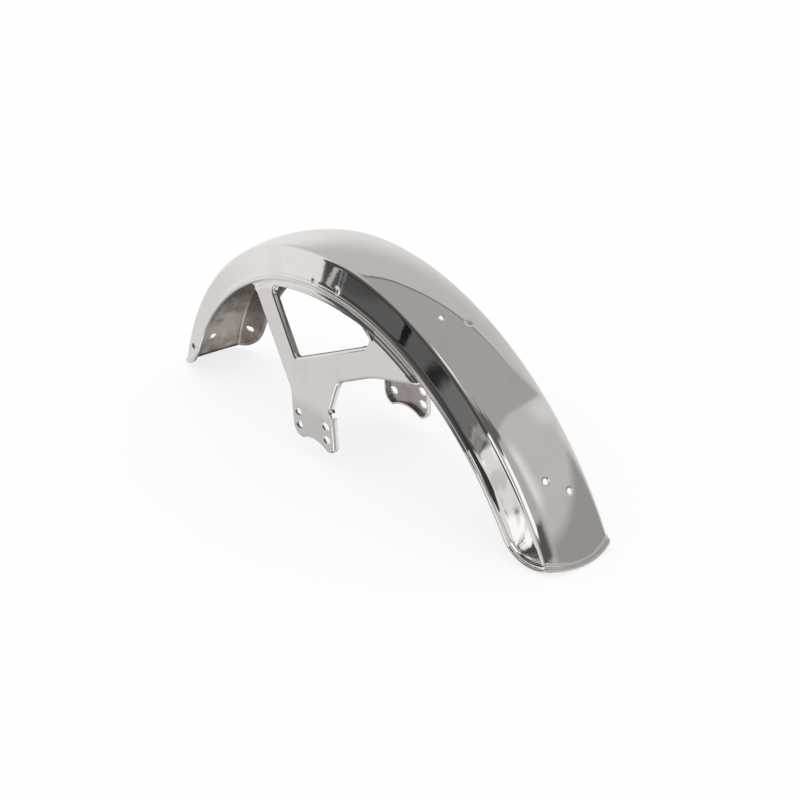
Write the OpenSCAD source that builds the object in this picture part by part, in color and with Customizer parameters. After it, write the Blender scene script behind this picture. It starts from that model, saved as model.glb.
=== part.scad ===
// Chromed front mudguard of a small motorcycle.
// A pressed guard blade with a rolled edge, and two pressed fork brackets spot-welded inside its skirts.
// Millimetres. +X is the front end, +Y the left side, +Z runs up along the fork legs.
// Everything is drawn about the wheel axle, then set down so that the ends stand on the floor.

/* [Guard blade] */
// wheel axle to the top of the crown
crown_r = 340; // [330:1:350]
// side-to-side radius of the domed crown
dome_r = 118; // [100:1:160]
// width over the two creases
crease_w = 70.8; // [64:0.2:76]
// outside radius of each crease
crease_fillet = 6; // [4:0.5:8]
// lean of the skirts away from upright
skirt_flare = 12.7; // [10:0.1:16]
// top of the crown to the skirt edge, towards the axle
blade_depth = 38; // [34:0.5:42]
// sheet thickness of the blade
sheet = 1.2; // [0.8:0.1:2]
// arc from the top of the crown to the front end
front_sweep = 67.2; // [60:0.1:72]
// arc from the top of the crown to the rear end
rear_sweep = 67.2; // [60:0.1:72]
// corner radius of the skirts at the front end
front_corner = 37; // [28:1:44]
// how far the front end bows out past its corners
front_bow = 7; // [3:0.5:10]
// corner radius of the skirts at the rear end
rear_corner = 70; // [30:1:80]
// how far the rear end bows out past its corners
rear_bow = 5; // [3:0.5:10]

/* [Rolled edge] */
// width of the whole raised edge
roll_band = 6.2; // [4.5:0.1:7.5]
// height of the raised edge over the sheet
roll_step = 1; // [0.5:0.1:1.4]
// width of the lip, the outer part of the raised edge
roll_lip = 3; // [2:0.1:3.8]
// height of the lip over the sheet
roll_height = 2; // [1.6:0.1:2.4]

/* [Fork brackets] */
// sheet thickness of the brackets
plate = 2; // [1.5:0.1:3]
// width over the faces of the two tabs
fork_w = 118.8; // [112:0.2:128]
// depth of the turned-in flanges
flange_depth = 5.5; // [4:0.5:8]
// skirt edge down to the bend between tab and web
bend_drop = 112; // [106:1:116]
// web left bare below the skirt edge, before it steps in
step_drop = 4.5; // [3.5:0.1:6]
// how far the plate steps in to pass behind the skirt
step_in = 2.7; // [1.5:0.1:4]
// reach of the weld flange up the inside of the skirt
weld_reach = 18; // [12:0.5:21]
// skirt edge at the top of the arc, down to the tab's lower edge
tab_drop = 155.5; // [153:0.5:159]
// half width of the tab
tab_half = 36.2; // [34:0.1:39]
// middle of the tab, forward of the wheel axle
tab_x = 5.2; // [3:0.1:7]
// rise of the hollow in the tab's lower edge
tab_hollow = 5.5; // [3:0.1:7]
// radius of the relief cut in the flange at the bend
relief_r = 4; // [2:0.5:5]

/* [Fork slots] */
// slot spacing along the guard
slot_pitch_x = 48; // [46:0.5:50]
// slot spacing up the tab
slot_pitch_z = 14; // [13:0.5:15]
// middle of the four slots, forward of the wheel axle
slot_mid_x = 5; // [3:0.5:7]
// skirt edge at the top of the arc, down to the middle of the four slots
slot_drop = 134; // [132:0.5:136]
// slot width
slot_w = 8; // [6:0.2:9]
// slot length, end to end
slot_len = 12; // [10:0.5:13]

/* [Holes in the blade] */
// diameter of the four plate holes in the crown
plate_hole_d = 6; // [4:0.1:8]
// sideways spacing in each pair of plate holes
pair_across = 19; // [14:0.5:24]
// spacing along the arc in each pair, in degrees
pair_along = 2.5; // [2:0.1:4]
// upper pair, in degrees up from the level of the axle
upper_pair = 62.6; // [58:0.1:68]
// lower pair, in degrees up from the level of the axle
lower_pair = 34.3; // [33:0.1:40]
// diameter of the mud-flap hole in the crown
flap_hole_d = 7.2; // [5:0.1:9]
// mud-flap hole, forward of the rear end along the crown
flap_hole_in = 29; // [20:1:34]
// mud-flap slot in each skirt, forward of the rear end
flap_slot_in = 45; // [40:1:50]
// mud-flap slot, below the crease
flap_slot_drop = 13.6; // [10:0.2:15]
// length of the mud-flap slot
flap_slot_len = 13; // [8:0.5:15]
// width of the mud-flap slot
flap_slot_w = 6; // [4:0.2:7]
// height of the small clip hole over the edge of the right skirt, at the top of the arc
clip_up = 7.5; // [7:0.1:12]
// diameter of the small clip hole
clip_hole_d = 3.6; // [2.5:0.1:4.5]
// height of the larger clip hole over the edge of the right skirt
guide_up = 8.7; // [8:0.1:12]
// diameter of the larger clip hole, through skirt and weld flange
guide_hole_d = 5; // [3.5:0.1:5.6]
// larger clip hole, degrees forward of the top
guide_fwd = 7; // [5:0.5:10]

/* [Hidden] */
$fn = 120;
nar = 6;
dome_n = 8;
fil_n = 5;
edge_r = crown_r - blade_depth;
// reach of the drawings that trim the blade, clear of the crown
clear_r = crown_r + 90;
front_deg = 90 - front_sweep;
rear_deg = 90 + rear_sweep;
half_crease = crease_w / 2;
dome_c = crown_r - dome_r;
crease_r = dome_c + sqrt(dome_r * dome_r - half_crease * half_crease);
flare_c = cos(skirt_flare);
flare_s = sin(skirt_flare);
flare_t = flare_s / flare_c;
// fillet centre: inside the dome arc by its radius, and inside the skirt line by its radius
skirt_k = half_crease * flare_c + crease_r * flare_s;
fil_deg = asin((skirt_k - crease_fillet - dome_c * flare_s) / (dome_r - crease_fillet)) - skirt_flare;
fil_r = dome_c + (dome_r - crease_fillet) * cos(fil_deg);
fil_y = (dome_r - crease_fillet) * sin(fil_deg);
// the bow of an end is an arc that meets both creases
function bow_r(bow) = (half_crease * half_crease + bow * bow) / (2 * bow);
// bracket heights that follow the blade
tab_bend_r = edge_r - bend_drop;
tab_low = edge_r - tab_drop;
slot_mid_z = edge_r - slot_drop;
step_r = edge_r - step_drop;
weld_r = edge_r + weld_reach;
tab_y = fork_w / 2;
step_y = skirt_in(edge_r) + step_in;
hollow_half = tab_half - 14.5;
hollow_r = (hollow_half * hollow_half + tab_hollow * tab_hollow) / (2 * tab_hollow);
// floor level and mid length, in the axle's frame
base_z = (crown_r - sheet) * min(sin(front_deg), sin(rear_deg));
mid_x = (crown_r + roll_height) * (cos(front_deg) + cos(rear_deg)) / 2;

// half width of the blade's outer face at distance r from the axle
function skirt_y(r) = half_crease + (crease_r - r) * flare_t;
// half width inside the skirts
function skirt_in(r) = skirt_y(r) - sheet / flare_c;

// half of the outer face as [radius, width], from the crown's top to the skirt edge, moved out by g
function half_face(g) = concat(
  [for (i = [0:dome_n]) let (a = fil_deg * i / dome_n)
    [dome_c + (dome_r + g) * cos(a), (dome_r + g) * sin(a)]],
  [for (i = [1:fil_n]) let (a = fil_deg + (90 - skirt_flare - fil_deg) * i / fil_n)
    [fil_r + (crease_fillet + g) * cos(a), fil_y + (crease_fillet + g) * sin(a)]],
  [[edge_r - 2, skirt_y(edge_r - 2) + g / flare_c]]);
function face_pts(g) = let (h = half_face(g))
  concat([for (i = [len(h) - 1:-1:1]) [h[i][0], -h[i][1]]], h);

function unit(v) = v / norm(v);
function wrap(a) = a > 180 ? a - 360 : (a < -180 ? a + 360 : a);
function arc_pts(c, r, a, da, n) = [for (i = [0:n]) c + r * [cos(a + da * i / n), sin(a + da * i / n)]];
// one rounded corner at q, coming from p and going on to s
function corner(p, q, s, r) =
  let (a = unit(p - q), b = unit(s - q), h = acos(a * b) / 2)
  let (c = q + unit(a + b) * r / sin(h), t0 = q + a * r / tan(h) - c, t1 = q + b * r / tan(h) - c)
  let (a0 = atan2(t0[1], t0[0]), a1 = atan2(t1[1], t1[0]))
  arc_pts(c, r, a0, wrap(a1 - a0), nar);
function flat(p) = [p[0], p[1]];
function at(p, i) = p[(i + len(p)) % len(p)];
// outline with rounded corners; each entry of p is [x, z, corner radius], counter-clockwise
function rounded(p) = [for (i = [0:len(p) - 1])
  each corner(flat(at(p, i - 1)), flat(p[i]), flat(at(p, i + 1)), p[i][2])];
// the same outline moved inwards by d
function inset(p, d) = [for (i = [0:len(p) - 1])
  let (e0 = unit(flat(p[i]) - flat(at(p, i - 1))), e1 = unit(flat(at(p, i + 1)) - flat(p[i])))
  let (n0 = [-e0[1], e0[0]], n1 = [-e1[1], e1[0]], m = (n0 + n1) / (1 + n0 * n1))
  let (turn = e0[0] * e1[1] - e0[1] * e1[0])
  [p[i][0] + d * m[0], p[i][1] + d * m[1], max(0.4, p[i][2] - d * sign(turn))]];

// side view of a bracket: tab, leg to the rear and arm to the front, hung from the skirt edge
bracket_pts = [
  [tab_x - tab_half, tab_low, 13],
  [tab_x + tab_half, tab_low, 13],
  [tab_x + tab_half, tab_bend_r - 2, 3],
  [tab_x + tab_half - 5, tab_bend_r + 4, 2],
  [46.8, edge_r - 78.3, 14],
  [95.7, edge_r - 59, 120],
  [192, edge_r - 42.2, 2],
  [192, edge_r + 58, 2],
  [-160, edge_r + 58, 2],
  [-160, edge_r - 17, 2],
  [-104.5, edge_r - 28.1, 22],
  [tab_x - tab_half, tab_bend_r + 3.5, 15]];
// side view of the window; its top follows the step behind the skirt
win_a0 = 73.2;
win_a1 = 104.4;
win_r = step_r - 1.8;
win_pts = concat(
  [[-24, edge_r - 73.4, 5], [91.5, edge_r - 30.1, 7], [win_r * cos(win_a0), win_r * sin(win_a0), 9]],
  [for (i = [1:7]) let (a = win_a0 + (win_a1 - win_a0) * i / 8) [win_r * cos(a), win_r * sin(a), 2]],
  [[win_r * cos(win_a1), win_r * sin(win_a1), 5]]);

// turns a drawing in radius and width, or a side view, upright about the axle
module upright() {
  rotate([90, 0, 0]) children();
}
module slab(w) {
  upright() linear_extrude(height = w, center = true) children();
}
module swept(a0, a1) {
  upright() rotate([0, 0, a0]) rotate_extrude(angle = a1 - a0) children();
}
// from the axle's frame to the frame in which the ends stand on the floor
module set_down() {
  translate([-mid_x, 0, -base_z]) children();
}

// strip of sheet between two offsets of the outer face
module strip(g_out, g_in) {
  polygon(concat(face_pts(g_out), [for (i = [len(face_pts(g_in)) - 1:-1:0]) face_pts(g_in)[i]]));
}
// waste beyond one end of the skirts in side view; the blade lies on the side of the second axis.
// The corner is an arc from the crease to the skirt edge, which it crosses at a few degrees.
module end_waste(corner_r, bow, d) {
  crease_end = norm([crease_r, bow]);
  out = edge_r + corner_r - 0.05;
  along = (out * out + crease_end * crease_end - corner_r * corner_r) / (2 * crease_end);
  turn = atan2(bow, crease_r) + acos(along / out);
  difference() {
    polygon([
      [0, 80 - crown_r],
      [clear_r, 80 - crown_r],
      [clear_r, -3],
      [crease_r + 0.8, -3],
      [crease_r + 0.8, bow + corner_r / 2],
      out * [cos(turn), sin(turn)],
      [0, 0]]);
    rotate([0, 0, turn]) translate([out, 0]) circle(r = corner_r - d);
  }
}
// side view of the blade with its edges moved in by d
module side_view(d) {
  difference() {
    circle(r = clear_r - 30);
    circle(r = edge_r + d);
    rotate([0, 0, front_deg]) end_waste(front_corner, front_bow, d);
    rotate([0, 0, rear_deg]) mirror([0, 1]) end_waste(rear_corner, rear_bow, d);
    rotate([0, 0, (front_deg + rear_deg) / 2 + 180])
      translate([0, -clear_r]) square([clear_r, 2 * clear_r]);
  }
}
// waste beyond a bowed end of the crown, the end at z = 0 and the blade on the side s
module bow_waste(bow, s, d) {
  difference() {
    translate([crown_r - 60, -60, s > 0 ? -60 : -45]) cube([100, 120, 105]);
    translate([crown_r - 70, 0, s * bow_r(bow)]) rotate([0, 90, 0])
      cylinder(h = 120, r = bow_r(bow) - d);
  }
}
// everything that lies inside the blade's edges, moved in by d
module blank(d) {
  difference() {
    slab(240) side_view(d);
    rotate([0, -front_deg, 0]) bow_waste(front_bow, 1, d);
    rotate([0, -rear_deg, 0]) bow_waste(rear_bow, -1, d);
  }
}
// what is cleared inside an edge of width w, down to height h over the sheet
module field(w, h) {
  intersection() {
    swept(front_deg - 1, rear_deg + 1) strip(roll_height + 2 + h, h);
    blank(w);
  }
}
// a hole square to the crown at th degrees and y to the side
module crown_hole(th, y, d) {
  rotate([0, -th, 0]) translate([crown_r - 14, y, 0]) rotate([0, 90, 0]) cylinder(h = 30, d = d);
}
module side_slot(len, w) {
  for (s = [-1, 1]) translate([s * (len - w) / 2, 0]) circle(d = w);
  square([len - w, w], center = true);
}
// a hole through the right skirt only, at height up over its edge
module skirt_hole(th, up, d) {
  rotate([0, -th, 0]) translate([edge_r + up, -skirt_y(edge_r + up), 0])
    rotate([90, 0, 0]) cylinder(h = 16, d = d, center = true);
}

module guard_blade() {
  color([0.75, 0.74, 0.73])
  set_down() difference() {
    intersection() {
      swept(front_deg - 1, rear_deg + 1) strip(roll_height, -sheet);
      blank(0);
    }
    field(roll_lip, roll_step);
    field(roll_band, 0);
    for (p = [upper_pair, lower_pair], s = [-1, 1]) {
      crown_hole(p - s * pair_along / 2, s * pair_across / 2, plate_hole_d);
    }
    crown_hole(rear_deg - flap_hole_in / crown_r * 180 / PI, 0, flap_hole_d);
    slab(120)
      rotate([0, 0, rear_deg - flap_slot_in / crease_r * 180 / PI])
      translate([crease_r - flap_slot_drop, 0])
      rotate([0, 0, flap_slot_in / crease_r * 180 / PI - rear_deg])
      side_slot(flap_slot_len, flap_slot_w);
    skirt_hole(90, clip_up, clip_hole_d);
    skirt_hole(90 - guide_fwd, guide_up, guide_hole_d);
  }
}

// side view of the bracket's outside, edges moved in by d
module bracket_view(d) {
  difference() {
    polygon(rounded(inset(bracket_pts, d)));
    translate([tab_x, tab_low + tab_hollow - hollow_r]) circle(r = hollow_r + d);
  }
}
module window_view(d) {
  polygon(rounded(inset(win_pts, d)));
}
// section of the bracket between two depths: flat tab, coned web, step and weld flange
module bracket_section(d0, d1, run) {
  face = [
    [tab_low - 26.5 - run, tab_y],
    [tab_bend_r, tab_y],
    [step_r, step_y],
    [edge_r, skirt_in(edge_r)],
    [weld_r + run, skirt_in(weld_r + run)]];
  polygon(concat(
    [for (p = face) p - [0, d0]],
    [for (i = [len(face) - 1:-1:0]) face[i] - [0, d1]]));
}
// pressed from plate: a body as deep as its flanges, hollowed from the inside
module bracket() {
  difference() {
    intersection() {
      swept(45, 125) bracket_section(0, flange_depth, 0);
      slab(160) difference() {
        bracket_view(0);
        window_view(0);
      }
    }
    intersection() {
      swept(44, 126) bracket_section(plate, flange_depth + 6, 4);
      slab(150) difference() {
        bracket_view(plate);
        window_view(-plate);
      }
    }
    slab(170) {
      for (sx = [-1, 1], sz = [-1, 1]) {
        translate([slot_mid_x + sx * slot_pitch_x / 2, slot_mid_z + sz * slot_pitch_z / 2])
          side_slot(slot_len, slot_w);
      }
      translate([tab_x + tab_half, tab_bend_r - 0.5]) circle(r = relief_r);
    }
  }
}
module bracket_right() {
  color([0.79, 0.79, 0.79])
  set_down() difference() {
    bracket();
    skirt_hole(90 - guide_fwd, guide_up, guide_hole_d);
  }
}
module bracket_left() {
  color([0.79, 0.79, 0.79])
  set_down() mirror([0, 1, 0]) bracket();
}

guard_blade();
bracket_right();
bracket_left();
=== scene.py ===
"""Chromed front mudguard of a small motorcycle: the guard blade with its rolled edge, and the two
pressed fork brackets welded inside its skirts. Sizes are in millimetres about the wheel axle, as in
the part's source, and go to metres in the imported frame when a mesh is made."""
import math

import bmesh
import bpy
import numpy as np
from mathutils import Matrix, Vector, geometry, kdtree


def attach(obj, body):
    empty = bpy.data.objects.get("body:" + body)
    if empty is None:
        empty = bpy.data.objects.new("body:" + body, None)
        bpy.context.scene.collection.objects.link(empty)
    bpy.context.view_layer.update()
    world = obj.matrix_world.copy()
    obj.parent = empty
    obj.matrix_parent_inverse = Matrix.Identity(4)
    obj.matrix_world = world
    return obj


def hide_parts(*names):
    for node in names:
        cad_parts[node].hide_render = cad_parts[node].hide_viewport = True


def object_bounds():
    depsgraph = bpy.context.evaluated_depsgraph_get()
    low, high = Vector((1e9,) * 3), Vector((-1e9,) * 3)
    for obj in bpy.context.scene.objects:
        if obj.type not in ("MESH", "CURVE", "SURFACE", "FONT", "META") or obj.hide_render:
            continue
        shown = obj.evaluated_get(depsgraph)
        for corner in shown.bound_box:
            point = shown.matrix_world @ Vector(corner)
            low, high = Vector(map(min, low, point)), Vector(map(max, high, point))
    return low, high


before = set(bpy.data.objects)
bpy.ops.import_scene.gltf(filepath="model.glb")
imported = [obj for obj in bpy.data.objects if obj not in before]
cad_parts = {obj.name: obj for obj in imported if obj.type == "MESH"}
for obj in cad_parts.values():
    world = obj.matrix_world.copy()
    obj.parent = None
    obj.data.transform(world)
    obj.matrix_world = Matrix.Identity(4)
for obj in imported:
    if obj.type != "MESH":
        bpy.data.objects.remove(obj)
cad_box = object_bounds()

# Guard blade
# One pressing of 1.2 mm steel: a shallow domed crown, a rounded crease on each side and flared skirts.
# Its whole edge is rolled over into a bead with a pressed band beside it, then it is chrome-plated.
crown_r = 340.0
dome_r = 118.0
half_crease = 35.4
crease_fillet = 6.0
flare = math.radians(12.7)
edge_r = 302.0
front_deg, rear_deg = 22.8, 157.2
front_corner_r, front_bow = 37.0, 7.0
rear_corner_r, rear_bow = 70.0, 5.0
sheet = 1.2
axle_z = -(crown_r - sheet) * math.sin(math.radians(front_deg))

# the section's arcs, worked out from the sizes above
skirt_tilt = math.pi / 2 - flare
dome_c = crown_r - dome_r
crease_r = dome_c + math.sqrt(dome_r**2 - half_crease**2)
crease_out = half_crease * math.cos(flare) + crease_r * math.sin(flare)
fillet_start = math.asin((crease_out - crease_fillet - dome_c * math.sin(flare))
                         / (dome_r - crease_fillet)) - flare
fillet_r = dome_c + (dome_r - crease_fillet) * math.cos(fillet_start)
fillet_y = (dome_r - crease_fillet) * math.sin(fillet_start)


def skirt_y(r):
    """Half width over the skirts at a distance from the axle."""
    return half_crease + (crease_r - r) * math.tan(flare)


def edge_steps(n):
    """Distances from the edge at which the rolled edge is drawn, closest together at the rim."""
    return [0, 0.05, 0.2, 0.45] + [0.8 + 0.4 * k for k in range(n)]


def section_of_blade(crown_parts=16, fillet_parts=12, skirt_parts=21):
    """Stations across the blade, right edge to left edge: distance from the axle, width and tilt."""
    half = []
    for k in range(crown_parts + 1):
        a = fillet_start * k / crown_parts
        half.append((dome_c + dome_r * math.cos(a), dome_r * math.sin(a), a))
    for k in range(1, fillet_parts + 1):
        a = fillet_start + (skirt_tilt - fillet_start) * k / fillet_parts
        half.append((fillet_r + crease_fillet * math.cos(a), fillet_y + crease_fillet * math.sin(a), a))
    top = half[-1][0]
    rises = edge_steps(16)
    rises += list(np.linspace(rises[-1], top - edge_r, skirt_parts + 1)[1:-1])
    half += [(edge_r + h, skirt_y(edge_r + h), skirt_tilt) for h in reversed(rises)]
    return [(r, -y, -a) for r, y, a in reversed(half)][:-1] + half


def end_angle(r, y, corner_r, bow):
    """How far round the arc the outline stands back from an end: the crown's end is bowed, and the
    skirts' corners are round."""
    bow_r = (half_crease**2 + bow**2) / (2 * bow)
    back = math.asin((bow_r - math.sqrt(bow_r**2 - y * y)) / r)
    if r < crease_r:
        out, reach = edge_r + corner_r, math.hypot(crease_r, bow)
        along = (out**2 + reach**2 - corner_r**2) / (2 * reach)
        turn = math.atan2(bow, crease_r) + math.acos(along / out)
        side = (out**2 + r * r - corner_r**2) / (2 * out * r)
        back = max(back, turn - math.acos(min(1.0, side)))
    return back


def blade_grid(length_parts=131):
    """Points and normals of the sheet's face on a grid that ends exactly on the outline."""
    ends = edge_steps(15) + [7.0, 7.8, 9, 10.8, 13, 16, 20]
    points, normals = [], []
    for r, y, tilt in section_of_blade():
        first = math.radians(front_deg) + end_angle(r, y, front_corner_r, front_bow)
        last = math.radians(rear_deg) - end_angle(r, y, rear_corner_r, rear_bow)
        turns = [first + s / r for s in ends]
        turns += list(np.linspace(first + ends[-1] / r, last - ends[-1] / r, length_parts + 1)[1:-1])
        turns += [last - s / r for s in reversed(ends)]
        turns = np.array(turns)
        points.append(np.stack([r * np.cos(turns), 0 * turns + y, r * np.sin(turns)], -1))
        normals.append(np.stack([math.cos(tilt) * np.cos(turns), 0 * turns + math.sin(tilt),
                                 math.cos(tilt) * np.sin(turns)], -1))
    return np.array(points), np.array(normals)


def distance_from_edge(points, pitch=0.25):
    """How far each point of the grid is from its outline, taken at that pitch."""
    rim = np.concatenate([points[0], points[1:, -1], points[-1, ::-1][1:], points[::-1, 0][1:]])
    dense = []
    for p, q in zip(rim[:-1], rim[1:]):
        n = max(1, int(np.linalg.norm(q - p) / pitch))
        dense += [p + (q - p) * k / n for k in range(n)]
    tree = kdtree.KDTree(len(dense))
    for k, p in enumerate(dense):
        tree.insert(p, k)
    tree.balance()
    return np.array([tree.find(p)[2] for p in points.reshape(-1, 3)]).reshape(points.shape[:2])


bead_r, bead_rise = 1.5, 1.75
band_middle, band_half = 4.4, 1.9
lip = 0.25
hem_depth, hem_end, hem_fade = 1.5, 4.6, 0.7
sweep_start = 6.2


def rolled_edge(d, sweep, share):
    """Height of the outer face and depth of the inner face at a distance d from the edge. The sheet
    sweeps up to the band, over a wider strip where sweep is 1 and not at all where share is 0."""
    bead = bead_rise * np.sqrt(np.clip(1 - ((d - bead_r) / bead_r) ** 2, 0, 1))
    band = np.sqrt(np.clip(1 - ((d - band_middle) / band_half) ** 2, 0, 1))
    over_bead = np.maximum(lip + bead, np.where(d > band_middle - band_half, band, 0))
    outer = np.where(d < 2 * bead_r, over_bead, band)
    sweep_height, sweep_width = share * (0.22 + 0.42 * sweep), 2.6 + 2.8 * sweep
    rise = sweep_height * np.clip(1 - (d - sweep_start) / sweep_width, 0, 1) ** 2
    outer = np.where(d > 5, np.maximum(outer, rise), outer)
    fold = hem_depth - (hem_depth - sheet) * np.clip((d - hem_end) / hem_fade, 0, 1)
    inner = np.where(d < bead_r, bead - lip, fold)
    return outer, inner


def to_frame(p):
    """From millimetres about the axle to metres in the frame."""
    return (np.asarray(p, float) + [0, 0, axle_z]) * 0.001


def mesh_object(name, verts, faces, looks=()):
    """A mesh in the scene; looks gives each face the number of its material."""
    mesh = bpy.data.meshes.new(name)
    mesh.from_pydata([tuple(v) for v in verts], [], [tuple(f) for f in faces])
    made = bpy.data.objects.new(name, mesh)
    bpy.context.scene.collection.objects.link(made)
    for k, look in enumerate(looks):
        mesh.polygons[k].material_index = look
    return made


def prism(outline, place, depth):
    """A closed prism over a flat outline, half of its depth to each side, placed by a matrix."""
    n = len(outline)
    verts = [place @ Vector((x, y, s * depth / 2)) for s in (-1, 1) for x, y in outline]
    faces = [list(range(n))[::-1], list(range(n, 2 * n))]
    faces += [[k, (k + 1) % n, n + (k + 1) % n, n + k] for k in range(n)]
    return verts, faces


def round_outline(d, length=None, n=40):
    """A circle, or a slot of that overall length along the first axis."""
    shift = 0 if length is None else (length - d) / 2
    out = []
    for k in range(n):
        a = 2 * math.pi * (k + 0.5) / n
        out.append((d / 2 * math.cos(a) + math.copysign(shift, math.cos(a)), d / 2 * math.sin(a)))
    return out


def cut_away(piece, cutters):
    """Cuts the prisms out of a piece, and keeps the result as its mesh."""
    verts, faces = [], []
    for v, f in cutters:
        faces += [[k + len(verts) for k in face] for face in f]
        verts += [to_frame(p) for p in v]
    tool = mesh_object("tool", verts, faces)
    step = piece.modifiers.new("cut", "BOOLEAN")
    step.object, step.operation, step.solver = tool, "DIFFERENCE", "EXACT"
    graph = bpy.context.evaluated_depsgraph_get()
    result = bpy.data.meshes.new_from_object(piece.evaluated_get(graph))
    piece.modifiers.clear()
    piece.data = result
    bpy.data.objects.remove(tool)


# the sheet: an outer face over the whole grid, an inner face that meets it at the rim
sweep_from, sweep_length = 60, 150
sweep_end, sweep_fade = 272, 22
grid, facing = blade_grid()
gap = distance_from_edge(grid)
ahead = grid[..., 0]
high, deep = rolled_edge(gap, np.clip((ahead - sweep_from) / sweep_length, 0, 1),
                         np.clip((sweep_end - ahead) / sweep_fade, 0, 1))
outer = to_frame(grid + facing * high[..., None])
inner = to_frame(grid - facing * deep[..., None])
rows, cols = gap.shape
verts = list(outer.reshape(-1, 3))
number = np.arange(rows * cols).reshape(rows, cols)
inside = number.copy()
for i in range(1, rows - 1):
    for j in range(1, cols - 1):
        inside[i, j] = len(verts)
        verts.append(inner[i, j])
faces, looks = [], []
for i in range(rows - 1):
    for j in range(cols - 1):
        for k, use in enumerate((number, inside)):
            quad = [use[i, j], use[i, j + 1], use[i + 1, j + 1], use[i + 1, j]]
            faces.append([int(q) for q in (quad if k else quad[::-1])])
            looks.append(k)
blade = mesh_object("blade_sheet", verts, faces, looks)

# painted shade: a dark line in the groove between bead and band, and one in the hem along the rear end
# inside
groove_at, groove_width, groove_shade = 2.75, 0.38, 0.35
hem_edge, hem_blur, hem_half, hem_x = 5.2, 1.5, 34, -250
groove = groove_shade * np.exp(-((gap - groove_at) / groove_width) ** 2)
hem = np.clip((hem_edge - gap) / hem_blur, 0, 1) * (np.abs(grid[..., 1]) < hem_half) * (ahead < hem_x)
painted_shade = np.zeros(len(verts), np.float32)
painted_shade[number.ravel()] = groove.ravel()
painted_shade[inside[1:-1, 1:-1].ravel()] = hem[1:-1, 1:-1].ravel()
blade.data.attributes.new("groove", "FLOAT", "POINT").data.foreach_set("value", painted_shade)


def on_arc(r, a, y=0.0):
    """A point at a distance from the axle and an angle round it from the front, in radians."""
    return (r * math.cos(a), y, r * math.sin(a))


def crown_cut(a, y, d):
    """A round hole square to the crown."""
    place = Matrix.Translation(on_arc(crown_cut_r, a, y)) @ Matrix.Rotation(math.pi / 2 - a, 4, "Y")
    return prism(round_outline(d), place, crown_cut_depth)


def side_cut(x, z, d, y, depth, length=None):
    """A hole or slot along the width."""
    place = Matrix.Translation((x, y, z)) @ Matrix.Rotation(math.pi / 2, 4, "X")
    return prism(round_outline(d, length), place, depth)


# two diagonal pairs of number-plate holes, the mud-flap hole and slots, the two clip holes
plate_turns, plate_skew, plate_y, plate_hole_d = (62.6, 34.3), 1.25, 9.5, 5.4
flap_hole_in, flap_hole_d = 29, 7.2
flap_slot_in, flap_slot_drop, flap_slot_w, flap_slot_len = 45, 13.6, 6.0, 13.0
guide_r, guide_deg, guide_d = 310.7, 83, 5.0
clip_r, clip_d = 309.5, 3.6
skirt_middle, skirt_cut, flap_skirt_y = 42, 16, 38
crown_cut_r, crown_cut_depth = crown_r - 8, 30
crown_holes = [(math.radians(turn - s * plate_skew), s * plate_y) for turn in plate_turns for s in (1, -1)]
holes = [crown_cut(a, y, plate_hole_d) for a, y in crown_holes]
crown_holes.append((math.radians(rear_deg) - flap_hole_in / crown_r, 0))
holes.append(crown_cut(*crown_holes[-1], flap_hole_d))
flap_turn = math.radians(rear_deg) - flap_slot_in / crease_r
flap_x, _, flap_z = on_arc(crease_r - flap_slot_drop, flap_turn)
holes.append(side_cut(flap_x, flap_z, flap_slot_w, 0, 120, flap_slot_len))
guide_x, _, guide_z = on_arc(guide_r, math.radians(guide_deg))
holes.append(side_cut(0, clip_r, clip_d, -skirt_middle, skirt_cut))
holes.append(side_cut(guide_x, guide_z, guide_d, -skirt_middle, skirt_cut))
spots = [on_arc(crown_r, a, y) for a, y in crown_holes]
spots += [(flap_x, s * flap_skirt_y, flap_z) for s in (-1, 1)]


class Wire:
    """A value in a shader. Sums on it add Math nodes, and node() adds any other."""

    def __init__(self, tree, socket=None):
        self.tree, self.socket = tree, socket

    def node(self, kind, sockets, out=0, **settings):
        made = self.tree.nodes.new(kind)
        for key, value in settings.items():
            setattr(made, key, value)
        for key, value in sockets.items():
            if isinstance(value, Wire):
                self.tree.links.new(value.socket, made.inputs[key])
            else:
                made.inputs[key].default_value = value
        return Wire(self.tree, made.outputs[out] if made.outputs else None)

    def maths(self, operation, *values):
        return self.node("ShaderNodeMath", dict(enumerate(values)), operation=operation)

    def __add__(self, other):
        return self.maths("ADD", self, other)

    def __radd__(self, other):
        return self.maths("ADD", other, self)

    def __sub__(self, other):
        return self.maths("SUBTRACT", self, other)

    def __rsub__(self, other):
        return self.maths("SUBTRACT", other, self)

    def __mul__(self, other):
        return self.maths("MULTIPLY", self, other)

    def __rmul__(self, other):
        return self.maths("MULTIPLY", other, self)

    def rise(self, low, high):
        """0 below low, 1 above high, smooth between; or falling where low is above high."""
        if low < high:
            return self.node("ShaderNodeMapRange", {"Value": self, "From Min": low, "From Max": high},
                             interpolation_type="SMOOTHSTEP")
        return 1 - self.rise(high, low)

    def tint(self, share, one, two):
        """Mixes two colours by this share."""
        return self.node("ShaderNodeMix", {0: share, 6: one, 7: two}, out=2, data_type="RGBA")

    def noise(self, where, scale, detail, rough=0.5):
        """Noise at that many lumps to the metre."""
        return self.node("ShaderNodeTexNoise",
                         {"Vector": where, "Scale": scale, "Detail": detail, "Roughness": rough})


def bare_wires(owner):
    """Clears the nodes that a material or the world comes with, and gives a Wire to start from."""
    owner.use_nodes = True
    owner.node_tree.nodes.clear()
    return Wire(owner.node_tree)


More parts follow.
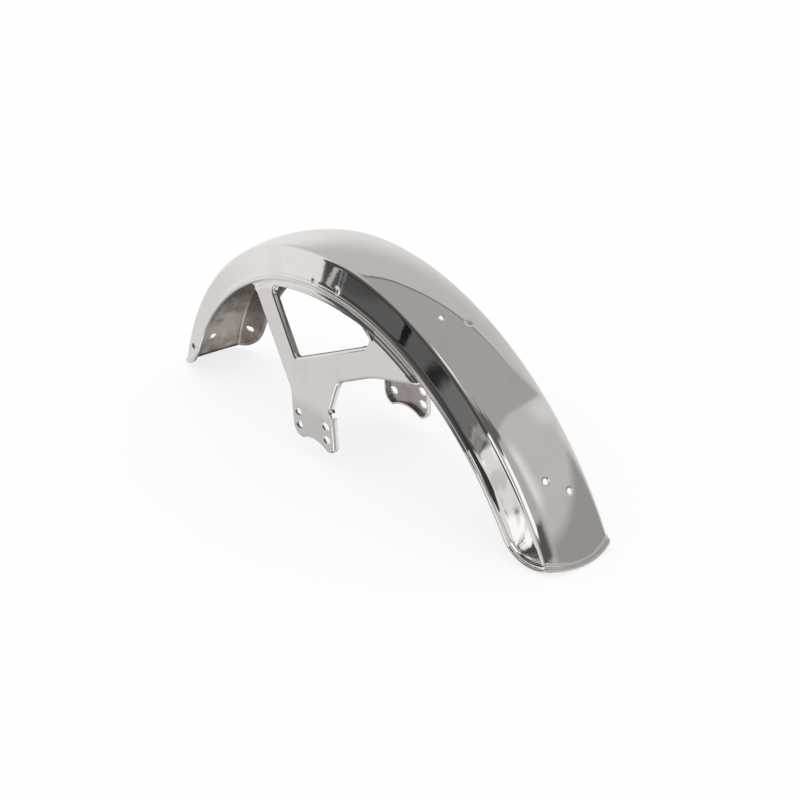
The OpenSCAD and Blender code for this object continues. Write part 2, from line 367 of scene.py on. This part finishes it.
def plated(name, clean, cloudy, rough, ripple, rings=(), shade_grooves=False, clear=0.5):
    """Bright plate: clean metal with clouded patches, wiping marks, pinholes and the sheet's slow ripple.
    Each ring is a place where a punched hole drew the sheet in, as its middle, two radii and a depth;
    clear is the share of the surface that is left free of clouds."""
    rust, groove_shade_colour = (0.25, 0.2, 0.16, 1), (0.07, 0.06, 0.055, 1)
    pin_depth, grain_height, wave_height = 0.00002, 0.000005, 0.0003
    made = bpy.data.materials.new(name)
    w = bare_wires(made)
    place = w.node("ShaderNodeTexCoord", {}, out=3)
    patches = w.noise(place, 22.0, 5.0, 0.6).rise(clear, clear + 0.28)
    long_way = w.node("ShaderNodeMapping", {"Vector": place, "Scale": (30.0, 900.0, 30.0)})
    wiped = w.noise(long_way, 1.0, 3.0).rise(0.52, 0.8)
    pins = w.node("ShaderNodeTexVoronoi", {"Vector": place, "Scale": 260.0, "Randomness": 1.0})
    pitted = pins.rise(0.09, 0.03) * w.noise(place, 60.0, 1.0).rise(0.66, 0.72)
    colour = w.tint(patches * 0.8, clean, cloudy)
    colour = w.tint(pitted * 0.5, colour, rust)
    # painted shade: the groove attribute darkens the colour towards near black in the groove beside the
    # bead and in the rear hem
    if shade_grooves:
        groove = w.node("ShaderNodeAttribute", {}, out=2, attribute_name="groove")
        colour = w.tint(groove.rise(0.05, 0.95) * 0.82, colour, groove_shade_colour)
    dull = rough * (1 + patches + wiped) + pitted * 0.25
    slow, grain = w.noise(place, 14.0, 2.0, 0.4), w.noise(place, 420.0, 2.0)
    height = slow * ripple + grain * grain_height - pitted * pin_depth
    if rings:
        # the press left the near front corner slightly wavy
        ahead, across = (w.node("ShaderNodeSeparateXYZ", {0: place}, out=k) for k in (0, 1))
        near_corner = ahead.rise(0.17, 0.235) * across.rise(-0.03, -0.036)
        height = height + w.noise(place, 40.0, 1.0) * near_corner * wave_height
    for middle, inner_r, outer_r, depth in rings:
        far = w.node("ShaderNodeVectorMath", {0: place, 1: middle}, out=1, operation="DISTANCE")
        height = height - far.rise(outer_r, inner_r) * depth
    bump = w.node("ShaderNodeBump", {"Height": height, "Strength": 1.0, "Distance": 1.0})
    metal = w.node("ShaderNodeBsdfPrincipled",
                   {"Metallic": 1.0, "Base Color": colour, "Roughness": dull, "Normal": bump})
    w.node("ShaderNodeOutputMaterial", {"Surface": metal})
    return made


drawn_in = [(tuple(to_frame(spot)), 0.0022, 0.0046, 0.0005) for spot in spots[:4]]
guide_rim, clip_rim = (guide_x, -skirt_y(guide_r), guide_z), (0, -skirt_y(clip_r), clip_r)
drawn_in.append((tuple(to_frame(guide_rim)), 0.0022, 0.0052, 0.0004))
drawn_in.append((tuple(to_frame(clip_rim)), 0.0018, 0.0034, 0.0003))
blade_chrome = plated("blade_chrome_look", clean=(0.86, 0.85, 0.84, 1), cloudy=(0.80, 0.785, 0.77, 1),
                      rough=0.02, ripple=0.0002, rings=drawn_in, shade_grooves=True)
# the inside is plated duller, and its darker brown colour with dark clouds is painted shade of the blade's
# own underside
dull_shaded_inside = plated("blade_inside_look", clean=(0.475, 0.43, 0.4, 1), cloudy=(0.17, 0.148, 0.13, 1),
                     rough=0.3, ripple=0.006, shade_grooves=True, clear=0.36)
for look in (blade_chrome, dull_shaded_inside):
    blade.data.materials.append(look)
cut_away(blade, holes)


def true_normals(piece, spots, reach, crown_half=30, crown_low=325, skirt_high=330):
    """Gives the faces round the holes the normals of the pressed sheet, so that it mirrors without
    dents. What lies on the crown and what lies on a skirt is told by its width and radius."""
    mesh = piece.data
    mesh.shade_smooth()
    mesh.set_sharp_from_angle(angle=math.radians(50))
    kept = [Vector(n.vector) for n in mesh.corner_normals]
    spots = [Vector(to_frame(s)) for s in spots]
    for face in mesh.polygons:
        if min((face.center - s).length for s in spots) > reach:
            continue
        for corner in face.loop_indices:
            x, y, z = mesh.vertices[mesh.loops[corner].vertex_index].co * 1000
            z -= axle_z
            r = math.hypot(x, z)
            if abs(y) < crown_half and r > crown_low:
                side = Vector(((r - dome_c) * x / r, y, (r - dome_c) * z / r)).normalized()
            elif r < skirt_high:
                c = math.sin(flare)
                side = Vector((c * x / r, math.copysign(math.cos(flare), y), c * z / r))
            else:
                continue
            along = face.normal.dot(side)
            if abs(along) > 0.9:
                kept[corner] = side if along > 0 else -side
            else:
                kept[corner] = face.normal
    mesh.normals_split_custom_set(kept)


true_normals(blade, spots, reach=0.011)
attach(blade, "root")
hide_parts("guard_blade")

# Fork brackets
# Two mirror pressings of 2 mm steel. Each has a flat tab with four slots, a web with a flanged window,
# turned-in flanges with soft bends, and a step up to the flange that is spot-welded inside the skirt.
tab_y = 59.4
plate = 2.0
flange_depth = 5.5
bend = 3.0
web_low, web_bend = 100, 190
step_low, step_high = 296.2, 298.0
step_out, strip_out = 2.9, 0.5
weld_r, weld_top = 320.0, 330.0
sunk_to, sunk_fade = 313, 5
wide_bend, tight_bend, bends_meet = 9.0, 1.0, 230
tab_x, tab_half, tab_low = 5.2, 36.2, 146.5
tab_foot, tab_rise = 14.5, 5.5
tab_front, tab_rear = tab_x + tab_half, tab_x - tab_half
notch_z, notch_r = tab_low + 43, 3.4
inner_skirt = [skirt_y(r) - sheet / math.cos(flare) for r in (edge_r, weld_top)]
profile_r = [web_low, web_bend, step_low, step_high, edge_r, weld_top]
profile_y = [tab_y, tab_y, inner_skirt[0] + step_out, inner_skirt[0] + strip_out, *inner_skirt]


def face_y(r):
    """Half width over the bracket's outer face: a wide bend over the tab and a tight one at the step."""
    r = np.asarray(r, float)
    spread = np.where(r < bends_meet, wide_bend, tight_bend)
    return sum(np.interp(r + spread * s, profile_r, profile_y) for s in np.linspace(-1, 1, 9)) / 9


def hollow(parts=10):
    """The shallow hollow in the tab's lower edge."""
    half = tab_half - tab_foot
    big = (half * half + tab_rise * tab_rise) / (2 * tab_rise)
    out = []
    for k in range(parts + 1):
        x = -half + 2 * half * k / parts
        z = tab_low + tab_rise - big + math.sqrt(big * big - x * x)
        out.append((tab_x + x, z, 3 if k in (0, parts) else 1))
    return out


def weld_edge(first, last, parts=16):
    """The long edge of the weld flange, from over one point to over another."""
    a0, a1 = math.atan2(first[1], first[0]), math.atan2(last[1], last[0])
    turns = [a0 + (a1 - a0) * k / parts for k in range(parts + 1)]
    return [(weld_r * math.cos(a), weld_r * math.sin(a), 1) for a in turns]


def window_top(parts=12):
    """The window's upper edge, which follows the guard's arc and hangs a little in the middle."""
    win_r, hang, front, rear = 295.7, 2.3, 73.2, 104.4
    corners = {0: 9, parts: 5}
    out = []
    for k in range(parts + 1):
        a = math.radians(front + (rear - front) * k / parts)
        r = win_r - hang * math.sin(math.pi * k / parts)
        out.append((r * math.cos(a), r * math.sin(a), corners.get(k, 2)))
    return out


# side view of the bracket, as points with x, z and the corner's radius: the tab with close points beside
# the notch, the step in its front edge, the throat and the front arm, the weld flange, and the rear arm
tip, heel = (187.8, 259.1), (-149.4, 283.0)
outline = [(tab_rear, tab_low, 13)] + hollow() + [(tab_front, tab_low, 13)]
outline += [(tab_front, z, 1) for z in np.arange(180, 185, 0.7)]
outline += [(tab_front, 188, 3), (38.9, 191, 1), (36.4, 194, 3)]
outline += [(46.8, 223.7, 14), (95.7, 243, 120)]
outline += weld_edge(tip, heel)
outline += [(-104.5, 273.9, 22), (tab_rear, 193.5, 15)]
window = [(-24, 228.6, 5), (91.5, 271.9, 7)] + window_top()


def inset(points, d):
    """The outline moved inwards by d, each corner's radius kept concentric."""
    out, n = [], len(points)
    for k in range(n):
        p, q, s = (np.array(points[(k + m) % n][:2]) for m in (-1, 0, 1))
        e0, e1 = (q - p) / np.linalg.norm(q - p), (s - q) / np.linalg.norm(s - q)
        n0, n1 = np.array([-e0[1], e0[0]]), np.array([-e1[1], e1[0]])
        turn = np.sign(e0[0] * e1[1] - e0[1] * e1[0])
        move = q + d * (n0 + n1) / (1 + n0 @ n1)
        out.append((move[0], move[1], max(0.4, points[k][2] - d * turn)))
    return out


def rounded(points, spans, n=8):
    """The outline with its corners rounded, and spans steps along each straight side."""
    arcs, m = [], len(points)
    for k in range(m):
        p, q, s = (np.array(points[(k + j) % m][:2]) for j in (-1, 0, 1))
        a, b = (p - q) / np.linalg.norm(p - q), (s - q) / np.linalg.norm(s - q)
        h = math.acos(max(-1, min(1, a @ b))) / 2
        if h > math.radians(85):
            arcs.append([q] * (n + 1))
            continue
        r = points[k][2]
        c = q + (a + b) / np.linalg.norm(a + b) * r / math.sin(h)
        t0, t1 = q + a * r / math.tan(h) - c, q + b * r / math.tan(h) - c
        a0, a1 = math.atan2(t0[1], t0[0]), math.atan2(t1[1], t1[0])
        da = (a1 - a0 + math.pi) % (2 * math.pi) - math.pi
        arcs.append([c + r * np.array([math.cos(a0 + da * j / n), math.sin(a0 + da * j / n)])
                     for j in range(n + 1)])
    out = []
    for k, arc in enumerate(arcs):
        out += arc + list(np.linspace(arc[-1], arcs[(k + 1) % m][0], spans[k] + 1)[1:-1])
    return np.array(out)


def within(points, loop):
    """Which points lie inside a closed loop."""
    x, z = points[:, 0][:, None], points[:, 1][:, None]
    x0, z0 = loop[:, 0], loop[:, 1]
    x1, z1 = np.roll(x0, -1), np.roll(z0, -1)
    cross = (z0 > z) != (z1 > z)
    with np.errstate(divide="ignore", invalid="ignore"):
        at = (x1 - x0) * (z - z0) / (z1 - z0) + x0
    return (np.sum(cross & (x < at), axis=1) % 2) == 1


def clear_of(points, loop, d):
    """Which points keep a distance from a closed loop."""
    p, q = loop, np.roll(loop, -1, axis=0)
    e = q - p
    length = np.maximum((e * e).sum(1), 1e-9)
    t = np.clip(((points[:, None] - p) * e).sum(-1) / length, 0, 1)
    near = np.linalg.norm(points[:, None] - (p + t[..., None] * e), axis=-1)
    return near.min(1) > d


def web_points(step=(292, 304), step_parts=200, pitch=3):
    """Points over the web on rings about the axle, close together at the bend and along the step."""
    ring_rows = [(140, 183, 3.5), (183, 197, 1.5), (198, 293, 3.5), (293, 304, 0.7), (305, 320, 3.0)]
    first, last = math.radians(48), math.radians(128)
    out = []
    for r in np.concatenate([np.arange(*row) for row in ring_rows]):
        n = step_parts if step[0] < r < step[1] else int(r * (last - first) / pitch)
        out += [(r * math.cos(a), r * math.sin(a)) for a in np.linspace(first, last, n)]
    return np.array(out)


def pressed_skin(pitch=3, clearance=0.8):
    """The bracket's outer face and flanges as one sheet, seen from the right side."""
    steps = [(bend + lead, 0) for lead in (4.0, 2.4, 1.0)]
    steps += [(bend * (1 - math.sin(a)), bend * (1 - math.cos(a))) for a in np.linspace(0, math.pi / 2, 7)]
    steps += [(0, bend + (flange_depth - bend) * k / 2) for k in (1, 2)]
    verts, faces = [], []

    def put(flat, drop):
        """Adds points that are sunk by drop below the face, but not in the weld flange."""
        r = np.hypot(flat[:, 0], flat[:, 1])
        fade = np.clip((sunk_to - r) / sunk_fade, 0, 1)
        y = -(face_y(r) - drop * fade)
        first = len(verts)
        verts.extend(np.stack([flat[:, 0], y, flat[:, 1]], -1))
        return first

    loops = []
    for points, sign in ((outline, 1), (window, -1)):
        last = None
        sides = zip(points, points[1:] + points[:1])
        spans = [max(1, int(math.dist(p[:2], q[:2]) / pitch)) for p, q in sides]
        for d, drop in steps:
            flat = rounded(inset(points, sign * d), spans)
            first, n = put(flat, drop), len(flat)
            if last is None:
                loops.append(flat)
            else:
                faces += [[last + k, last + (k + 1) % n, first + (k + 1) % n, first + k] for k in range(n)]
            last = first
    field = web_points()
    field = field[within(field, loops[0]) & ~within(field, loops[1])]
    field = field[clear_of(field, loops[0], clearance) & clear_of(field, loops[1], clearance)]
    flat = np.concatenate([loops[0], loops[1], field])
    edges, start = [], 0
    for loop in loops:
        n = len(loop)
        edges += [(start + k, start + (k + 1) % n) for k in range(n)]
        start += n
    found = geometry.delaunay_2d_cdt([Vector(p) for p in flat], edges, [], 0, 1e-5)
    spots, triangles = np.array([tuple(v) for v in found[0]]), found[2]
    middles = np.array([spots[list(t)].mean(0) for t in triangles])
    keep = within(middles, loops[0]) & ~within(middles, loops[1])
    first = put(spots, 0.0)
    faces += [[first + k for k in t] for t, good in zip(triangles, keep) if good]
    return verts, faces


def flat_way(point, start):
    """The way from one point to another in side view."""
    return Vector((point.x - start.x, 0, point.z - start.z))


def cut_notch(work):
    """Opens the round relief at the top of the tab's front edge, before the sheet gets its thickness."""
    middle = Vector(to_frame((tab_front, 0, notch_z)))
    radius, least, most = notch_r * 0.001, 0.002, 0.0048
    gone = [f for f in work.faces if flat_way(f.calc_center_median(), middle).length < radius]
    bmesh.ops.delete(work, geom=gone, context="FACES")
    for v in work.verts:
        away = flat_way(v.co, middle)
        if v.is_boundary and least < away.length < most and v.co.x < middle.x + 0.001:
            v.co += away * (radius / away.length - 1)


def fork_bracket(name, side, cutters, looks):
    """Makes one bracket; side is -1 for the right one and 1 for the left one."""
    verts, faces = pressed_skin()
    verts = [to_frame((x, -side * y, z)) for x, y, z in verts]
    made = mesh_object(name, verts, faces)
    for look in looks:
        made.data.materials.append(look)
    work = bmesh.new()
    work.from_mesh(made.data)
    bmesh.ops.remove_doubles(work, verts=work.verts, dist=4e-5)
    bmesh.ops.dissolve_degenerate(work, dist=1e-5, edges=work.edges)
    bmesh.ops.recalc_face_normals(work, faces=work.faces)
    flat = max(work.faces, key=lambda f: f.calc_area() * abs(f.normal.y))
    if flat.normal.y * side < 0:
        bmesh.ops.reverse_faces(work, faces=work.faces)
    cut_notch(work)
    work.to_mesh(made.data)
    work.free()
    thick = made.modifiers.new("plate", "SOLIDIFY")
    thick.thickness, thick.offset = plate * 0.001, -1
    thick.material_offset = 1
    cut_away(made, cutters)
    for v in made.data.vertices:
        v.co.y = max(-tab_y * 0.001, min(tab_y * 0.001, v.co.y))
    made.data.shade_smooth()
    made.data.set_sharp_from_angle(angle=math.radians(38))
    return made


slot_x, slot_z, slot_w, slot_len = 5, 168, 8.0, 12.0
half_pitch_x, half_pitch_z = 24, 7
slot_cut_y, slot_cut, flange_cut_y, flange_cut = 58, 20, 40, 12
slots = [(slot_x + i * half_pitch_x, slot_z + j * half_pitch_z) for i in (-1, 1) for j in (-1, 1)]
bracket_chrome = plated("bracket_chrome_look", clean=(0.82, 0.815, 0.81, 1), cloudy=(0.77, 0.76, 0.75, 1),
                        rough=0.08, ripple=0.0006)
# the bracket's inner faces are a little rougher, and their darker colour is painted shade
shaded_bracket_inside = plated("bracket_inside_look", clean=(0.50, 0.46, 0.45, 1), cloudy=(0.36, 0.32, 0.31, 1),
                        rough=0.2, ripple=0.001)
for hand, side in (("right", -1), ("left", 1)):
    cutters = [side_cut(x, z, slot_w, side * slot_cut_y, slot_cut, slot_len) for x, z in slots]
    if side < 0:
        cutters.append(side_cut(guide_x, guide_z, guide_d, -flange_cut_y, flange_cut))
        cutters.append(side_cut(0, clip_r, clip_d, -flange_cut_y, flange_cut))
    bracket = fork_bracket("fork_bracket_" + hand, side, cutters, (bracket_chrome, shaded_bracket_inside))
    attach(bracket, "root")
    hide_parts("bracket_" + hand)

# Floor and studio
# A plain pale floor that keeps the guard's shadow, and a white room with soft panels round it. Chrome shows
# only what stands round it, so the room's panels are set out by compass direction and height.
floor_half, floor_glow = 8, 0.8
corners = [(x * floor_half, y * floor_half, 0) for x, y in ((-1, -1), (1, -1), (1, 1), (-1, 1))]
floor = mesh_object("floor", corners, [(0, 1, 2, 3)])
floor.location.z = cad_box[0][2]
floor.visible_glossy = False
pale = bpy.data.materials.new("floor_look")
w = bare_wires(pale)
matt = w.node("ShaderNodeBsdfDiffuse", {"Color": (0.99, 0.99, 0.99, 1)})
white = w.node("ShaderNodeEmission", {"Color": (1, 1, 1, 1), "Strength": 1.0})
seen = w.node("ShaderNodeLightPath", {}, out=0)
lit = w.node("ShaderNodeMixShader", {0: seen * floor_glow, 1: matt, 2: white})
w.node("ShaderNodeOutputMaterial", {"Surface": lit})
floor.data.materials.append(pale)

world = bpy.data.worlds.new("studio")
bpy.context.scene.world = world
w = bare_wires(world)
way = w.node("ShaderNodeTexCoord", {}, out=0)
east, north, up = (w.node("ShaderNodeSeparateXYZ", {0: way}, out=k) for k in range(3))

# turn is the direction in degrees round from the front end, lift the height in degrees above level
turn = w.maths("ARCTAN2", north, east) * (180 / math.pi)
turn = turn + 360 * w.maths("LESS_THAN", turn, 0.0)
lift = w.maths("ARCSINE", up) * (180 / math.pi)
plate_share = 0.85


def tone(v):
    """Brightness of the room that the plate shows as this tone of 0 to 255 on screen."""
    return ((v / 255 + 0.055) / 1.055) ** 2.4 / plate_share


def over(under, v, *masks):
    """Lays an area of tone v over what is there; a mask is the share of it, and masks multiply."""
    share = masks[0]
    for mask in masks[1:]:
        share = share * mask
    return under + (tone(v) - under) * share


def between(value, low, high, soft):
    """1 from low to high, with ends as soft as that many degrees to each side."""
    return value.rise(low - soft, low + soft) * value.rise(high + soft, high - soft)


def bulge(value):
    """The square of a value where it is above 0, for the curved edge of a panel."""
    return w.maths("POWER", w.maths("MAXIMUM", value, 0.0), 2.0)


# ceiling, the lit wall below it on the far side, and the dark line where they meet
brow = 55 - 0.006 * bulge(138 - turn)
drop = lift - brow
far_wall = between(turn, 84, 219, 3)
room = w.maths("ADD", tone(158), 0.0)
room = over(room, 182, drop.rise(0.8, -0.8), far_wall)
room = over(room, 212, lift.rise(40, 8), far_wall)
room = over(room, 221, between(turn, 150, 219, 8), lift.rise(30, 10))
room = over(room, 105, between(drop, -0.6, 0.6, 0.5), turn.rise(78, 100), turn.rise(176, 160))

# soft panel on the far right, with a brighter rim, and the dimmer part under it
rim = 53 - 0.0075 * bulge(turn - 22)
over_rim = lift - rim
panel = over_rim.rise(0.6, -1.2) * between(turn, 6, 88, 2) * lift.rise(10, 16)
room = over(room, 181, panel)
room = over(room, 203, panel, between(over_rim, -9, -1, 3), turn.rise(52, 76))
room = over(room, 145, between(turn, 4, 76, 6), lift.rise(20, 13))
room = over(room, 214, between(turn, 2, 22, 6), between(lift, 27, 46, 5))
room = over(room, 205, between(turn, 72, 90, 4), lift.rise(26, 14))

# front of the room: a dark panel, a white one under it, and a dark one near the floor
ahead = turn + 360 * w.maths("LESS_THAN", turn, 100.0)
slant = lift - 0.22 * (ahead - 301)
room = over(room, 168, between(ahead, 284, 374, 3), lift.rise(62, 50))
room = over(room, 92, between(ahead, 290, 374, 2), between(slant, 35, 51, 1.2))
room = over(room, 250, between(ahead, 310.5, 362, 2.5), between(slant, 10, 35, 1.2))
room = over(room, 84, between(ahead, 308, 371, 3), between(slant, -2.5, 9, 1.2))
room = over(room, 250, between(ahead, 256, 286, 2), lift.rise(30, 22))

# floor as the metal shows it
door_side = turn.rise(244, 240)
room = over(room, 208, lift.rise(-6, -11), turn.rise(150, 180), door_side)
room = over(room, 188, lift.rise(-17, -27), door_side)
room = over(room, 225, lift.rise(-17, -24), between(turn, 15, 60, 6))
room = over(room, 140, lift.rise(-40, -62), turn.rise(130, 160))

# dark doorway that stands on the floor, with the dark line over its lit lower part
edge = turn - 1.03 * (lift + 3)
door_edge = edge.rise(254.5, 253)
sill = lift + 0.35 * w.maths("MAXIMUM", turn - 228, 0.0)
over_sill = sill.rise(-9.6, -8.4)
inside_door = turn.rise(217.3, 217.8) * door_edge * over_sill
room = over(room, 88, inside_door, lift.rise(46, 24))
room = over(room, 72, inside_door, between(lift, -3.7, 22, 0.3))
room = over(room, 30, turn.rise(219, 222), door_edge, between(lift, -2.2, -0.4, 0.4))

# the striped left jamb, a bar across the doorway, and the dark and light things that stand in it
low_door = lift.rise(0, -2) * inside_door
lean = turn - 0.3 * lift
room = over(room, 172, between(turn - 0.9 * (lift + 3.6), 218.55, 219.3, 0.12), low_door)
room = over(room, 150, between(lean, 221.35, 221.5, 0.08), low_door)
room = over(room, 120, between(lean, 221.95, 222.2, 0.1), low_door)
room = over(room, 24, between(turn, 230.8, 231.8, 0.08), low_door)
room = over(room, 40, between(turn, 235.1, 236.9, 0.4), lift.rise(-6.6, -7.6), inside_door)
room = over(room, 106, between(turn, 237.2, 241.5, 0.4), lift.rise(-7, -9), inside_door)
room = over(room, 145, between(turn, 241.2, 242.6, 0.5), lift.rise(-10, -12), over_sill)

# the pale wall to the right of the doorway, its dark band, and the bright and dark strips low on it
wall_end = turn.rise(290, 280)
room = over(room, 214, turn.rise(242.6, 243.2), edge.rise(253, 255), lift.rise(8, 2), wall_end)
room = over(room, 52, between(turn, 249, 272, 1.2), (lift - 0.3 * turn).rise(-89.5, -87.9), lift.rise(5, 1))
room = over(room, 190, between(turn, 245.0, 246.2, 0.3), lift.rise(-14, -16))
room = over(room, 250, between(turn, 247.0, 248.6, 0.3), lift.rise(-18, -20))
room = over(room, 236, between(turn, 243.2, 244.0, 0.3), lift.rise(-13, -14), lift.rise(-16, -15))
room = over(room, 255, turn.rise(248.3, 248.8), lift.rise(-22.9, -23.3), wall_end)
room = over(room, 112, between(turn, 246.25, 246.7, 0.15), between(lift, -19.4, -18.4, 0.3))
room = over(room, 70, between(turn - 0.5 * lift, 259.2, 263, 0.3), between(lift, -23.2, -21.2, 0.3))

# a lamp high over it, the room's slight warmth, and a brown and a green thing beside the doorway
room = over(room, 255, between(turn, 265, 285, 2), between(lift, 44, 57, 2))
light = w.node("ShaderNodeCombineColor", {0: room * 1.0, 1: room * 0.972, 2: room * 0.955})
brown = between(turn, 240.6, 241.8, 0.35) * between(lift, -13.1, -11.6, 0.35)
green = between(turn, 242.0, 242.6, 0.25) * between(lift, -14.2, -12.9, 0.25)
light = w.tint(brown, light, (0.2, 0.135, 0.105, 1))
light = w.tint(green, light, (0.3, 0.38, 0.36, 1))
studio = w.node("ShaderNodeBackground", {"Color": light, "Strength": 1.0})
plain = w.node("ShaderNodeBackground", {"Color": (1, 1, 1, 1), "Strength": 1.0})
mirrored = w.node("ShaderNodeLightPath", {}, out=3)
around = w.node("ShaderNodeMixShader", {0: mirrored, 1: plain, 2: studio})
w.node("ShaderNodeOutputWorld", {"Surface": around})

# Camera
# From the right and above the front end, as the photograph was taken. Its focal length was worked out
# in pixels of the 800 pixel picture, and its place in metres about the axle.
picture_px, focal_px = 800, 1174.93
stand = Vector((0.882895, -0.590354, 0.658766 + axle_z * 0.001))
right = Vector((0.60507, 0.79459, -0.05013)).normalized()
down = Vector((0.30457, -0.28918, -0.90753)).normalized()
forward = Vector((-0.73561, 0.53385, -0.41698)).normalized()
lens = bpy.data.cameras.new("camera")
camera = bpy.data.objects.new("camera", lens)
bpy.context.scene.collection.objects.link(camera)
lens.sensor_width = 36.0
lens.lens = focal_px / picture_px * 36
lens.clip_end = 50
camera.matrix_world = Matrix.Translation(stand) @ Matrix((right, -down, -forward)).transposed().to_4x4()
bpy.context.scene.camera = camera
bpy.context.scene.view_settings.view_transform = "Standard"
